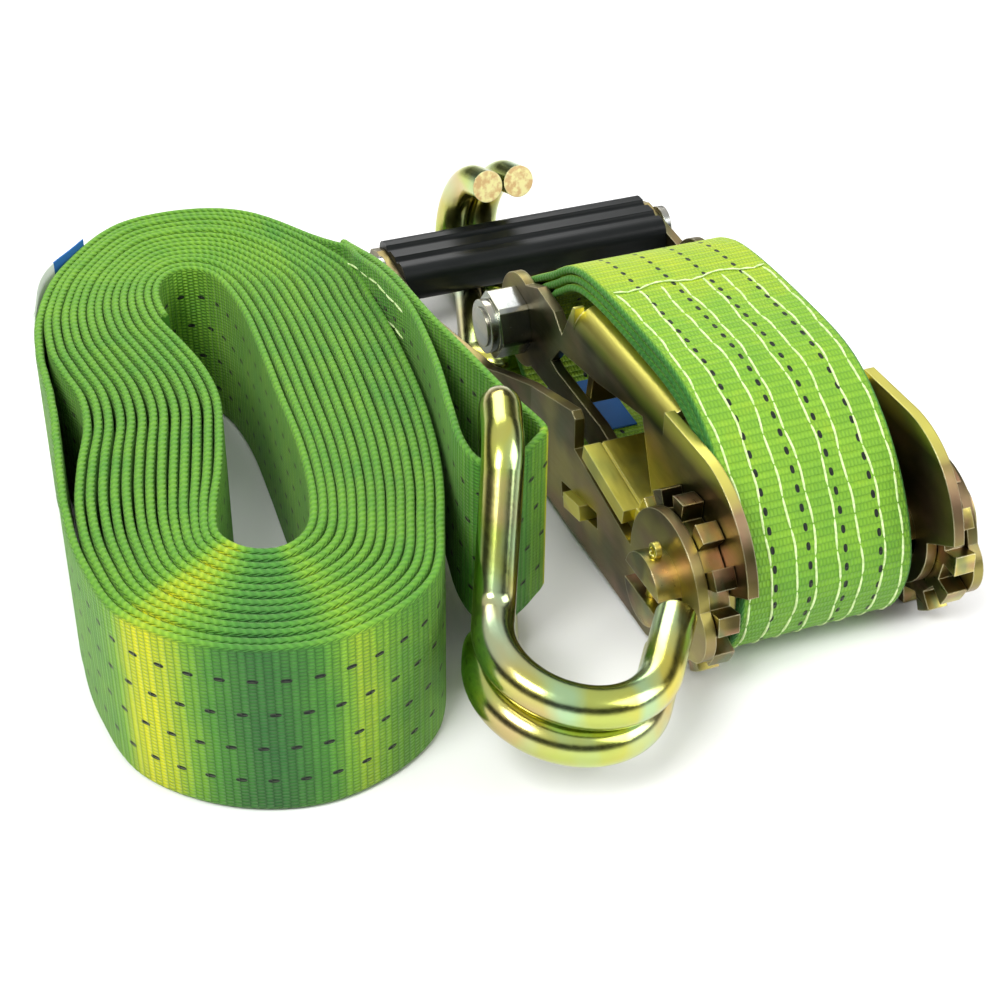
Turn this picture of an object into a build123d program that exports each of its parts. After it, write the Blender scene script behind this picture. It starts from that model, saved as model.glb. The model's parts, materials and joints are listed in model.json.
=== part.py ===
from build123d import *

import math
import os

os.makedirs("parts", exist_ok=True)

# Axes while modelling: X along the spindle, Y from the hub to the grip, Z up, floor at Z = 0.
# The ratchet lies closed and upside down: its frame is on top and its handle is underneath.
# Everything is moved to the common origin, the bottom centre of the whole object, at the end.
# Places named with _YZ, _XY or _XYZ are in millimetres along those axes.

# webbing
WEB_W = 50.0
WEB_T = 2.6
SHORT_X0 = -27.5
SHORT_X1 = SHORT_X0 + WEB_W
SHORT_T = 3 * WEB_T
TAIL_START_Y = 17.0

# hub, spindle and ratchet wheels
HUB_Z = 24.0
SPINDLE_R = 10.0
SPINDLE_SLOT = 5.0
SPINDLE_END_X = 47.0
COTTER_X = 43.6
COTTER_R = 1.6
RUN_CLEARANCE = 0.05
WHEEL_TIP_R = 24.0
WHEEL_ROOT_R = 18.5
WHEEL_TEETH = 12
WHEEL_IN_X = 31.3
WHEEL_OUT_X = 37.2

# frame, a pair of side plates that fold over into the base
PLATE_T = 3.0
FRAME_OUT_X = 31.0
FRAME_IN_X = FRAME_OUT_X - PLATE_T
FRAME_TOP_Z = 59.5
NOSE_YZ = (3.0, 30.0)
NOSE_R = 29.4
HUB_BOSS_R = 15.5
FLANGE_Y0 = 24.0
FLANGE_Y1 = 81.0
FLANGE_REACH = 19.0
FOLD_R = 7.5
RIVET_Y = (38.0, 66.0)
RIVET_R = 3.0

# M12 bolt, nut and sleeve
BOLT_Y = 120.0
BOLT_Z = 35.0
BOLT_R = 6.0
SLEEVE_R = 8.5
EAR_R = 14.5

# handle, a pair of plates that spread towards the grip
HANDLE_IN_X = 37.5
HANDLE_OUT_X = HANDLE_IN_X + PLATE_T
HANDLE_DISC_R = 20.0
HANDLE_TOE_YZ = (-15.0, 20.5)
HANDLE_TOE_R = 9.0
SPREAD_Y0 = 88.0
SPREAD_Y1 = 160.0
SPREAD_X = 9.5
GRIP_Y = 190.0
GRIP_Z = 18.6
GRIP_DEPTH = 26.0
GRIP_HEIGHT = 13.0
GRIP_ROD_R = 3.5

# pawls: flat plates that slide towards the hub between the teeth
PAWL_T = 4.6
PAWL_GAP = 0.2
BASE_PAWL_DEG = 10.0
BASE_PAWL_R0 = 25.0
BASE_PAWL_R1 = 51.5
BASE_PAWL_HALF = 41.0
HANDLE_PAWL_DEG = -11.0
HANDLE_PAWL_HALF = 43.0
BASE_SPRING_R0 = 58.4
BASE_SPRING_R1 = 75.0
BASE_SPRING_X = 14.0
HANDLE_SPRING_R0 = 64.4
HANDLE_SPRING_R1 = 79.0
HANDLE_SPRING_X = 16.0

# hooks, each bent from one round bar into a crossbar, two legs and a pair of J ends
WIRE_D = 10.6
EYE_SLACK = 4.5
FRONT_BAR_XY = (-73.5, 32.0)
BACK_BAR_YZ = (138.0, 8.7)
FRONT_J_R = 21.0
BACK_J_R = 17.5

# long strap, standing on its edge
TAIL_Z = 8.5
EYE_Z = 12.2
COIL_OUTER = [(-170, 158), (-178.5, 120), (-182, 84), (-186, 40), (-183, 12), (-168, -11), (-145, -21.5),
              (-120, -20), (-105, -8.5), (-94.5, 17), (-86, 47), (-80, 80), (-76.6, 106), (-75.6, 130),
              (-76.8, 152), (-82, 178), (-97, 193), (-120, 200), (-141, 196), (-160, 176)]
COIL_SLOT = [(-123.5, 157.5), (-117.5, 151), (-115.5, 130), (-118, 104), (-120, 72), (-123, 43),
             (-128.5, 26), (-136, 20.5), (-144.5, 25), (-144.5, 36), (-137.5, 53), (-131, 72), (-127, 92),
             (-128.5, 115), (-132, 132), (-131.5, 150)]
TAIL_LINE = [(-78.5, 175.0), (-73.6, 158), (-72.0, 140), (-71.6, 118), (-72.5, 93)]
EYE_LINE = [(-71.2, 92), (-68.6, 70), (-66.8, 46), (-64.2, 32), (-63.6, 25.0), (-68, 21.2), (-74, 16.6),
            (-80, 13.8), (-85.2, 17.5), (-85.4, 28), (-82.6, 42), (-77.6, 66), (-73.9, 92)]

NODES = {}


def node(name, *solids):
    """Collects the solids of one named piece."""
    NODES[name] = solids[0] if len(solids) == 1 else Compound(children=list(solids))


def extrude_x(face_yz, x0, x1):
    """A flat outline drawn in (Y, Z), made solid between two X positions."""
    low, high = min(x0, x1), max(x0, x1)
    plane = Plane(origin=(low, 0, 0), x_dir=(0, 1, 0), z_dir=(1, 0, 0))
    return extrude(plane * face_yz, high - low)


def rod_x(y, z, radius, x0, x1):
    """A round bar along X."""
    return extrude_x(Pos(y, z) * Circle(radius), x0, x1)


def block(x0, x1, y0, y1, z0, z1):
    """A box between two corners."""
    return Pos((x0 + x1) / 2, (y0 + y1) / 2, (z0 + z1) / 2) * Box(x1 - x0, y1 - y0, z1 - z0)


def radial(angle_deg):
    """A frame at the hub axis whose X is the spindle axis and whose Y runs outwards at that angle."""
    a = math.radians(angle_deg)
    return Plane(origin=(0, 0, HUB_Z), x_dir=(1, 0, 0), z_dir=(0, -math.sin(a), math.cos(a)))


def mirror_x(shape):
    return mirror(shape, about=Plane.YZ)


# ---------------------------------------------------------------- frame

def frame_outline():
    """Side of one frame plate: round nose over the hub, straight top, lobe round the bolt."""
    above_lip = Polygon((-40, 35), (-26, 35), (-13, 27.5), (-13, 20), (26, 20), (40, 24), (40, 70), (-40, 70),
                        align=None)
    nose = (Pos(*NOSE_YZ) * Circle(NOSE_R)) & above_lip
    boss = Pos(0, HUB_Z) * Circle(HUB_BOSS_R)
    bridge = Polygon((3, 20), (24, 20), (99, 24), (112, 24), (118, 48), (107, 52.5), (95, 51), (89, 46.5),
                     (82, FRAME_TOP_Z), (3, FRAME_TOP_Z - 0.1), align=None)
    ear = Pos(BOLT_Y, BOLT_Z) * Circle(EAR_R)
    return nose + boss + bridge + ear


def in_pawl_direction(r, side):
    """(Y, Z) of a point at radius r from the hub and a little beside the base pawl's middle line."""
    a = math.radians(BASE_PAWL_DEG)
    return (r * math.cos(a) - side * math.sin(a), HUB_Z + r * math.sin(a) + side * math.cos(a))


def frame_window():
    """Opening in the side plate in which the base pawl slides."""
    half = PAWL_T / 2 + PAWL_GAP
    return Polygon(in_pawl_direction(17, -half), in_pawl_direction(62, -half), (92, 33), (96, 34), (90, 41),
                   (64, 45), (36, 51), in_pawl_direction(29, half), in_pawl_direction(17, half), align=None)


def frame_plate(flange_top, flange_reach):
    """Right-hand plate, with its base flange folded inwards under flange_top."""
    side = extrude_x(frame_outline(), FRAME_IN_X, FRAME_OUT_X)
    side -= extrude_x(frame_window(), FRAME_IN_X - 1, FRAME_OUT_X + 1)
    side -= rod_x(0, HUB_Z, SPINDLE_R + RUN_CLEARANCE, FRAME_IN_X - 1, FRAME_OUT_X + 1)
    side -= rod_x(BOLT_Y, BOLT_Z, BOLT_R + RUN_CLEARANCE, FRAME_IN_X - 1, FRAME_OUT_X + 1)
    side -= block(FRAME_IN_X - 1, FRAME_OUT_X + 1, FLANGE_Y0, FLANGE_Y1, flange_top - FOLD_R, FRAME_TOP_Z + 1)
    fold = Pos(FRAME_OUT_X - FOLD_R, flange_top - FOLD_R) * (Circle(FOLD_R) - Circle(FOLD_R - PLATE_T))
    fold = fold & Polygon((FRAME_OUT_X - FOLD_R, flange_top - FOLD_R), (FRAME_OUT_X + 1, flange_top - FOLD_R),
                          (FRAME_OUT_X + 1, flange_top + 1), (FRAME_OUT_X - FOLD_R, flange_top + 1), align=None)
    flat = Polygon((flange_reach, flange_top - PLATE_T), (FRAME_OUT_X - FOLD_R, flange_top - PLATE_T),
                   (FRAME_OUT_X - FOLD_R, flange_top), (flange_reach, flange_top), align=None)
    section = Plane(origin=(0, FLANGE_Y1, 0), x_dir=(1, 0, 0), z_dir=(0, -1, 0)) * (fold + flat)
    return side + extrude(section, FLANGE_Y1 - FLANGE_Y0)


def make_frame():
    """Two plates whose base flanges overlap and are riveted together."""
    lower_top = FRAME_TOP_Z - PLATE_T - 0.05
    right = frame_plate(lower_top, -FLANGE_REACH)
    left = mirror_x(frame_plate(FRAME_TOP_Z, -FLANGE_REACH))
    rivets = []
    for y in RIVET_Y:
        hole = Pos(0, y, FRAME_TOP_Z - PLATE_T) * Cylinder(RIVET_R, 20)
        right -= hole
        left -= hole
        shank = Pos(0, y, FRAME_TOP_Z - PLATE_T) * Cylinder(RIVET_R, 2 * PLATE_T + 0.6)
        tail = Pos(0, y, lower_top - PLATE_T - 1.0) * Cylinder(RIVET_R + 2, 2.0)
        rivets.append(shank + tail)
    node("frame_plate_left", left)
    node("frame_plate_right", right)
    node("frame_rivets", *rivets)


def hexagon_x(y, z, flats, x0, x1):
    return extrude_x(Pos(y, z) * Rot(0, 0, 10) * RegularPolygon(flats / 2, 6, major_radius=False), x0, x1)


def make_bolt():
    """M12 bolt across the frame, with its self-locking nut and the sleeve that the eye turns on."""
    head = hexagon_x(BOLT_Y, BOLT_Z, 18.0, FRAME_OUT_X, FRAME_OUT_X + 7.0)
    bolt = head + rod_x(BOLT_Y, BOLT_Z, BOLT_R, -FRAME_OUT_X - 12.6, FRAME_OUT_X)
    node("frame_bolt", bolt)
    body = hexagon_x(BOLT_Y, BOLT_Z, 18.6, -FRAME_OUT_X - 9.4, -FRAME_OUT_X)
    cone = Plane(origin=(-FRAME_OUT_X - 12.0, BOLT_Y, BOLT_Z), x_dir=(0, 1, 0), z_dir=(1, 0, 0))
    collar = cone * Pos(0, 0, 1.3) * Cylinder(8.2, 2.6)
    bore = rod_x(BOLT_Y, BOLT_Z, BOLT_R + 0.02, -FRAME_OUT_X - 20, 0)
    chamfer_cut = rod_x(BOLT_Y, BOLT_Z, 10.3, -FRAME_OUT_X - 12.6, -FRAME_OUT_X)
    node("frame_nut", ((body & chamfer_cut) + collar) - bore)
    sleeve = rod_x(BOLT_Y, BOLT_Z, SLEEVE_R, -FRAME_IN_X + 0.1, FRAME_IN_X - 0.1)
    node("bolt_sleeve", sleeve - rod_x(BOLT_Y, BOLT_Z, BOLT_R + 0.1, -40, 40))


# ---------------------------------------------------------------- pawls and springs

def plate_in(plane, outline, thickness=PAWL_T):
    """A plate whose mid plane is the given plane."""
    return extrude(plane * outline, thickness / 2, both=True)


def spring(plane, x, r0, r1, coil_r, wire_r, turns):
    """A coil spring from radius r0 to r1 out along the plane's Y axis."""
    helix = Helix(pitch=(r1 - r0 - 2 * wire_r) / turns, height=r1 - r0 - 2 * wire_r, radius=coil_r)
    start = Plane(origin=helix @ 0, z_dir=helix % 0)
    coil = sweep(start * Circle(wire_r), path=helix, is_frenet=True)
    seat = Plane(origin=plane.from_local_coords(Vector(x, r0 + wire_r, 0)), x_dir=plane.x_dir,
                 z_dir=plane.y_dir)
    return seat.location * coil


def pin_out(plane, x, r0, r1, radius):
    """A round pin along the plane's Y axis, from r0 to r1."""
    middle = plane.from_local_coords(Vector(x, (r0 + r1) / 2, 0))
    return Plane(origin=middle, x_dir=plane.x_dir, z_dir=plane.y_dir) * Cylinder(radius, r1 - r0)


def make_base_pawl():
    """Plate across the frame, with a tooth for each wheel, a tab at each end and two spring fingers."""
    plane = radial(BASE_PAWL_DEG)
    tooth_mid = (WHEEL_IN_X + WHEEL_OUT_X) / 2
    tooth_width = WHEEL_OUT_X - WHEEL_IN_X - 0.2
    middle_r = (BASE_PAWL_R0 + BASE_PAWL_R1) / 2
    outline = Pos(0, middle_r) * Rectangle(2 * BASE_PAWL_HALF, BASE_PAWL_R1 - BASE_PAWL_R0)
    for side in (-1, 1):
        outline += Pos(side * tooth_mid, 23) * Rectangle(tooth_width, 8)
        outline += Pos(side * BASE_SPRING_X, 53) * Rectangle(9, 10)
        outline += Pos(side * BASE_SPRING_X, 60) * Rectangle(3.6, 10)
    pawl = plate_in(plane, outline)
    for side in (-1, 1):
        place = Vector(side * 35.6, middle_r, PAWL_T / 2)
        groove = Plane(origin=plane.from_local_coords(place), x_dir=plane.x_dir, z_dir=plane.z_dir)
        pawl -= groove * Box(0.6, 40, 1.2)
    springs = [spring(plane, side * BASE_SPRING_X, BASE_SPRING_R0, BASE_SPRING_R1, 3.6, 0.6, 5)
               for side in (-1, 1)]
    node("base_pawl", pawl)
    node("base_pawl_springs", *springs)
    seat = Pos(0, BASE_SPRING_R1 + 1.6) * Rectangle(2 * FRAME_IN_X - 0.2, 3.0)
    node("frame_spring_bar", plate_in(plane, seat, 12))


def make_handle_pawl():
    """H-shaped plate: two toes for the wheels, a bridge behind them and a finger pull."""
    plane = radial(HANDLE_PAWL_DEG)
    toe_out = WHEEL_OUT_X - 0.3
    outline = Pos(0, 52.5) * Rectangle(2 * toe_out, 23)
    outline += Pos(0, 53.5) * Rectangle(2 * HANDLE_PAWL_HALF, 11)
    outline += Pos(0, 68) * Rectangle(18, 10)
    for side in (-1, 1):
        outline += Pos(side * (WHEEL_IN_X + toe_out) / 2, 37) * Rectangle(toe_out - WHEEL_IN_X, 24)
    toe_cut = plate_in(plane, Pos(0, 14.5) * Rectangle(100, 20), 20)
    pull = Pos(plane.from_local_coords(Vector(0, 71.5, 5.2))) * Rot(HANDLE_PAWL_DEG, 0, 0) * Box(18, 3, 7)
    guides = [pin_out(plane, side * HANDLE_SPRING_X, 63, 73, 1.7) for side in (-1, 1)]
    springs = [spring(plane, side * HANDLE_SPRING_X, HANDLE_SPRING_R0, HANDLE_SPRING_R1, 2.4, 0.5, 5)
               for side in (-1, 1)]
    node("handle_pawl", (plate_in(plane, outline) + pull + guides) - toe_cut)
    node("handle_pawl_springs", *springs)
    seat = Pos(0, HANDLE_SPRING_R1 + 1.6) * Rectangle(2 * HANDLE_OUT_X, 3.0)
    node("handle_spring_bar", plate_in(plane, seat, 5.2))


# ---------------------------------------------------------------- spindle

def make_spindle():
    """Two half-round bars with the webbing slot between them, a split pin through each end."""
    for name, side in (("spindle_upper", 1), ("spindle_lower", -1)):
        bar = rod_x(0, HUB_Z, SPINDLE_R, -SPINDLE_END_X, SPINDLE_END_X)
        slot_edge = HUB_Z + side * SPINDLE_SLOT / 2
        far_edge = HUB_Z + side * 2 * SPINDLE_R
        bar &= block(-60, 60, -20, 20, min(slot_edge, far_edge), max(slot_edge, far_edge))
        for x in (-COTTER_X, COTTER_X):
            bar -= Pos(x, 0, HUB_Z) * Cylinder(COTTER_R + 0.1, 40)
        node(name, bar)
    pins = []
    for x in (-COTTER_X, COTTER_X):
        pin = Pos(x, 0, HUB_Z) * Cylinder(COTTER_R, 2 * SPINDLE_R + 1.6)
        eye = Pos(x, 0, HUB_Z + SPINDLE_R + 1.6) * Rot(0, 90, 0) * (Cylinder(2.1, 1.8) - Cylinder(1.0, 4))
        pins.append(pin + eye)
    node("spindle_cotters", *pins)


def wheel_face():
    """Toothed wheel with a bar across its bore that fills the spindle's slot."""
    face = Circle(WHEEL_TIP_R) - Circle(SPINDLE_R + RUN_CLEARANCE)
    gap = Polygon((WHEEL_ROOT_R, -2.9), (26, -3.7), (26, 3.7), (WHEEL_ROOT_R, 2.9), align=None)
    for k in range(WHEEL_TEETH):
        face -= Rot(0, 0, BASE_PAWL_DEG + k * 360 / WHEEL_TEETH) * gap
    key = Rectangle(2 * SPINDLE_R + 2, SPINDLE_SLOT - 0.4) & Circle(SPINDLE_R + 1)
    return Pos(0, HUB_Z) * (face + key)


def make_wheels():
    for name, side in (("ratchet_wheel_left", -1), ("ratchet_wheel_right", 1)):
        node(name, extrude_x(wheel_face(), side * WHEEL_IN_X, side * WHEEL_OUT_X))


# ---------------------------------------------------------------- handle

def handle_outline():
    """Side of one handle plate: hub disc with a toe, neck under the base pawl, taper to the grip."""
    disc = Pos(0, HUB_Z) * Circle(HANDLE_DISC_R)
    toe = Pos(*HANDLE_TOE_YZ) * Circle(HANDLE_TOE_R)
    web = Polygon((-1.5, 43.9), (-20.4, 27.7), (-17.5, 11.9), (-3, 4.3), align=None)
    arm = Polygon((0, 4), (8, 1), (60, 2), (196, 7), (204, 11), (206, 16), (203, 21), (197, 23), (165, 20.5),
                  (132, 22.5), (114, 24), (104, 27.5), (60, 40.5), (57.6, 39), (57.4, 29.5), (22, 22.5),
                  (0, 22), align=None)
    return disc + toe + web + arm


def handle_plan():
    """The same plate seen from above: straight at the hub, then bent outwards."""
    a, b = HANDLE_IN_X, HANDLE_OUT_X
    return Polygon((a, -30), (b, -30), (b, SPREAD_Y0), (b + SPREAD_X, SPREAD_Y1), (b + SPREAD_X, 230),
                   (a + SPREAD_X, 230), (a + SPREAD_X, SPREAD_Y1 + 1), (a, SPREAD_Y0 + 1), align=None)


def make_handle_plates():
    plate = extrude_x(handle_outline(), 0, 80) & extrude(handle_plan(), 70)
    plate -= rod_x(0, HUB_Z, SPINDLE_R + RUN_CLEARANCE, 0, 80)
    plane = radial(HANDLE_PAWL_DEG)
    plate -= plate_in(plane, Pos(0, 53.75) * Rectangle(160, 24.5), PAWL_T + 2 * PAWL_GAP)
    plate -= plate_in(plane, Pos(0, HANDLE_SPRING_R1 + 1.6) * Rectangle(160, 3.04), 5.24)
    plate -= rod_x(GRIP_Y, GRIP_Z - 1, GRIP_ROD_R + 0.02, 0, 80)
    node("handle_plate_right", plate)
    node("handle_plate_left", mirror_x(plate))


def make_grip():
    """Moulded grip on a rod whose riveted heads hold the two handle plates."""
    plate_in_x = HANDLE_IN_X + SPREAD_X
    plate_out_x = plate_in_x + PLATE_T
    rod = rod_x(GRIP_Y, GRIP_Z - 1, GRIP_ROD_R, -plate_out_x - 2.2, plate_out_x + 2.2)
    heads = [rod_x(GRIP_Y, GRIP_Z - 1, 6.5, side * (plate_out_x + 0.02), side * (plate_out_x + 2.4))
             for side in (-1, 1)]
    node("grip_rod", rod + heads)
    section = RectangleRounded(GRIP_DEPTH, GRIP_HEIGHT, 4.5)
    for y in (-4.5, 4.0):
        for side in (-1, 1):
            section -= Pos(y, side * (GRIP_HEIGHT / 2 + 0.9)) * Circle(2.2)
    half = plate_in_x - 0.05
    grip = extrude_x(Pos(GRIP_Y, GRIP_Z) * section, -half, half)
    node("grip", grip - rod_x(GRIP_Y, GRIP_Z - 1, GRIP_ROD_R + 0.03, -80, 80))


# ---------------------------------------------------------------- short strap

def ribbon(points, thickness):
    """Face of even thickness whose middle line is a smooth curve through these points."""
    line = Spline(*points)
    steps = 3 * len(points)
    sides = ([], [])
    for k in range(steps + 1):
        across = (line % (k / steps)).rotate(Axis.Z, 90)
        sides[0].append(line @ (k / steps) + across * (thickness / 2))
        sides[1].append(line @ (k / steps) - across * (thickness / 2))
    edges = [Spline(*sides[0]), Line(sides[0][-1], sides[1][-1]), Spline(*sides[1]), Line(sides[0][0], sides[1][0])]
    return make_face(edges)


def band(points, thickness, x0, x1):
    """A strap lying across the ratchet, drawn in (Y, Z)."""
    return extrude_x(ribbon(points, thickness), x0, x1)


def make_short_strap():
    """Eye round the bolt sleeve, over the base, down round the hub, then back along the floor."""
    eye = rod_x(BOLT_Y, BOLT_Z, SLEEVE_R + 0.2 + WEB_T, SHORT_X0, SHORT_X1)
    eye -= rod_x(BOLT_Y, BOLT_Z, SLEEVE_R + 0.2, -40, 40)
    eye -= block(-40, 40, 60, BOLT_Y - 4, 0, 100)
    top_mid = FRAME_TOP_Z + 2.2 + SHORT_T / 2
    over = band([(117, 45.6), (104, 54.5), (92, 62.5), (78, top_mid), (50, top_mid + 0.6), (24, top_mid - 1.2),
                 (7, 56.0), (-6, 43.0), (-13.6, 27.0), (-10.8, 13.0), (-5.2, 7.4), (0.5, 5.0)],
                SHORT_T - 0.4, SHORT_X0, SHORT_X1)
    hub_room = rod_x(0, HUB_Z, SPINDLE_R + 0.5, -40, 40)
    node("short_strap_front", (eye + over) - hub_room)
    tail = band([(TAIL_START_Y, 4.4), (45, 3.2), (80, 2.9), (100, 3.0), (114, 3.1)], 2 * WEB_T, SHORT_X0, SHORT_X1)
    bar_y, bar_z = BACK_BAR_YZ
    inner_height = WIRE_D + 1.0
    outer_height = inner_height + 2 * WEB_T
    place = Pos(bar_y - EYE_SLACK / 2, bar_z)
    outside = extrude_x(place * SlotOverall(outer_height + EYE_SLACK, outer_height), SHORT_X0, SHORT_X1)
    inside = extrude_x(place * SlotOverall(inner_height + EYE_SLACK, inner_height), -40, 40)
    join = band([(110, 3.0), (122, 4.0), (bar_y - 9 - EYE_SLACK, bar_z)], 2 * WEB_T, SHORT_X0, SHORT_X1)
    under_floor = block(-40, 40, 60, 200, -10, 0.3)
    node("short_strap_tail", (tail + outside + join) - inside - under_floor)
    node("short_strap_label", block(-24, -2, 96, 118, 5.8, 6.3))


# ---------------------------------------------------------------- hooks

def bent_bar(points, radii):
    """Round bar along straight runs joined by arcs."""
    path = FilletPolyline(*points, radius=radii)
    start = Plane(origin=path @ 0, z_dir=path % 0)
    return sweep(start * Circle(WIRE_D / 2), path=path)


def j_end(leg, along, across, radius, flare_deg, reach, knee):
    """Corners of one J: tip, its two bends, and the point where its leg starts."""
    flare = math.radians(flare_deg)
    run = radius * math.tan((math.pi / 2 - flare) / 2)
    near = leg - along * radius
    far = near + across * (radius + run)
    opening = along * math.cos(flare) + across * math.sin(flare)
    return [far + opening * (run + reach), far, near, leg + along * knee]


def hook(first_j, second_offset, crossbar, bend):
    """Bar from the tip of the first J, round the crossbar, to the tip of the second J."""
    second_j = [p + second_offset for p in reversed(first_j)]
    tight = bend - 0.05
    radii = [tight, tight, 9, *crossbar[1], 9, tight, tight]
    return bent_bar(first_j + crossbar[0] + second_j, radii)


def make_hooks():
    """Front hook upright in the long strap's eye, back hook on the floor and round the grip."""
    x, y = FRONT_BAR_XY
    floor_z = WIRE_D / 2
    normal = Vector(0.16, -0.16, 0.97).normalized()
    along = Vector(0.398, 0.913, 0.085).normalized()
    across = along.cross(normal)
    leg = Vector(-75.4, -24.0, 33.5) - across * FRONT_J_R
    j_points = j_end(leg, along, across, FRONT_J_R, 12, 20, 6)
    corners = [Vector(-81.0, 10.8, 69.2), Vector(x, y, 70.5), Vector(x, y, floor_z),
               Vector(-81.5, 11.2, floor_z)]
    node("front_hook", hook(j_points, normal * -WIRE_D - along * 2, (corners, [12, 8, 8, 12]), FRONT_J_R))
    lean = math.radians(12)
    bar_y, bar_z = BACK_BAR_YZ
    leg = Vector(-19.5, 198.0, floor_z + 0.4)
    j_points = j_end(leg, Vector(0, -1, 0), Vector(math.sin(lean), 0, math.cos(lean)), BACK_J_R, 14, 9, 8)
    corners = [Vector(-34.2, 147, 7.2), Vector(-34.6, bar_y, bar_z), Vector(34, bar_y, bar_z),
               Vector(32.6, 149, 7.2)]
    node("back_hook", hook(j_points, Vector(WIRE_D + 0.4, 0, 0), (corners, [4, 6, 6, 6]), BACK_J_R))


# ---------------------------------------------------------------- long strap

def closed_face(points):
    return make_face(Spline(*points, periodic=True))


def upright_band(points, thickness, z0, z1):
    """A strap standing on its edge along these (X, Y) points."""
    return Pos(0, 0, z0) * extrude(ribbon(points, thickness), z1 - z0)


def make_long_strap():
    """Closed outline of the coil round its slot, the sewn tail behind it and the upright eye."""
    coil = extrude(closed_face(COIL_OUTER), WEB_W) - extrude(closed_face(COIL_SLOT), WEB_W)
    tail = upright_band(TAIL_LINE, 2 * WEB_T, TAIL_Z, TAIL_Z + WEB_W)
    eye = upright_band(EYE_LINE, WEB_T - 0.1, EYE_Z, EYE_Z + WEB_W)
    room = upright_band(TAIL_LINE, 2 * WEB_T + 0.6, -1, WEB_W + TAIL_Z + 4)
    node("long_strap_coil", coil - room)
    node("long_strap_tail", tail)
    node("long_strap_eye", eye - upright_band(TAIL_LINE, 2 * WEB_T + 0.1, 0, WEB_W + 20))
    node("coil_label", upright_band([(-171.8, 162), (-163.5, 178.0), (-150, 191.5)], 0.5, 8, 46))


def main():
    make_frame()
    make_bolt()
    make_base_pawl()
    make_handle_pawl()
    make_spindle()
    make_wheels()
    make_handle_plates()
    make_grip()
    make_short_strap()
    make_hooks()
    make_long_strap()
    boxes = [shape.bounding_box() for shape in NODES.values()]
    mid_x = (min(b.min.X for b in boxes) + max(b.max.X for b in boxes)) / 2
    mid_y = (min(b.min.Y for b in boxes) + max(b.max.Y for b in boxes)) / 2
    shift = Pos(-mid_x, -mid_y, -min(b.min.Z for b in boxes))
    print("origin moved by", shift.position)
    for name, shape in NODES.items():
        print(name, type(shape).__name__, len(shape.solids()), round(shape.volume), shape.is_valid)
        export_step(shift * shape, os.path.join("parts", name + ".step"))


main()
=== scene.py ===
"""Ratchet strap: looks of the webbing, hooks and ratchet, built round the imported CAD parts.

Lengths below are in millimetres, measured from the spindle's axis on the floor: X along the spindle,
Y from the hub to the grip, Z up. at() turns them into the shared frame's metres.
"""

import json
import math

import bpy
from mathutils import Matrix, Vector


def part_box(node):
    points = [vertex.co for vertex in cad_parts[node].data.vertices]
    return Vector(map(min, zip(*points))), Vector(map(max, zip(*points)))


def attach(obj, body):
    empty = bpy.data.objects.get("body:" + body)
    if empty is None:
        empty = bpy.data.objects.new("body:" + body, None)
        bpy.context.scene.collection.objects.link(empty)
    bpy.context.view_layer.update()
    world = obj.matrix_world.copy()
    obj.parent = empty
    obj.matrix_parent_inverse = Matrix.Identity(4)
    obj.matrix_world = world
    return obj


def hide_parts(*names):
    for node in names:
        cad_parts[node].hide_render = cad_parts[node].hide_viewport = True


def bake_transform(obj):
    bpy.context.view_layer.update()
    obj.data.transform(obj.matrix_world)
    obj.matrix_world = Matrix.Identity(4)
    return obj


MM = 0.001
WEB_W = 50.0        # webbing's width
WEB_T = 2.3         # its thickness
LAYER = 2.6         # from one layer to the next in a stack
COIL_TURNS = 15
EDGE_TINT = 0.42    # tint that the coil's edges drift towards, giving them half the painted sheen
DASH_ROWS = (5.2, 15.3)     # rows of black tracer dashes, either side of the middle
COIL_DASHES = (7.5, 1.35)   # pitch and half length of a dash on the coil
FLAT_DASHES = (4.9, 1.1)    # and on the short strap
DASH_HALF_WIDTH = 0.6
RIB_PITCH = 1.9     # ribs across the webbing
RUNG_PITCH = 1.05   # rungs within a rib
LOOP_PITCH = 2.2    # loops along its edge
STITCH_PITCH = 8.0
THREAD_R = 0.34

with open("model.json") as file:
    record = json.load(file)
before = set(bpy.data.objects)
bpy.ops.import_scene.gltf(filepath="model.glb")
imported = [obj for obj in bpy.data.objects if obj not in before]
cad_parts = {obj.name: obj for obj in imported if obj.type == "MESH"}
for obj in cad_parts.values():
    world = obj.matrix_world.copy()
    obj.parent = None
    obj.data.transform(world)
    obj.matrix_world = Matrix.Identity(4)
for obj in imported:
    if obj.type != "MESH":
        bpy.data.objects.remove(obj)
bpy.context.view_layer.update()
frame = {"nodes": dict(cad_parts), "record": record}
LEFT_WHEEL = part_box("ratchet_wheel_left")
RIGHT_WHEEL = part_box("ratchet_wheel_right")
HUB = (LEFT_WHEEL[0] + RIGHT_WHEEL[1]) / 2
HUB.z = 0.0


def at(x, y, z=0.0):
    """A place given in millimetres from the hub, in the shared frame's metres."""
    return HUB + Vector((x, y, z)) * MM


# ------------------------------------------------------------------ node trees

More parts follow.
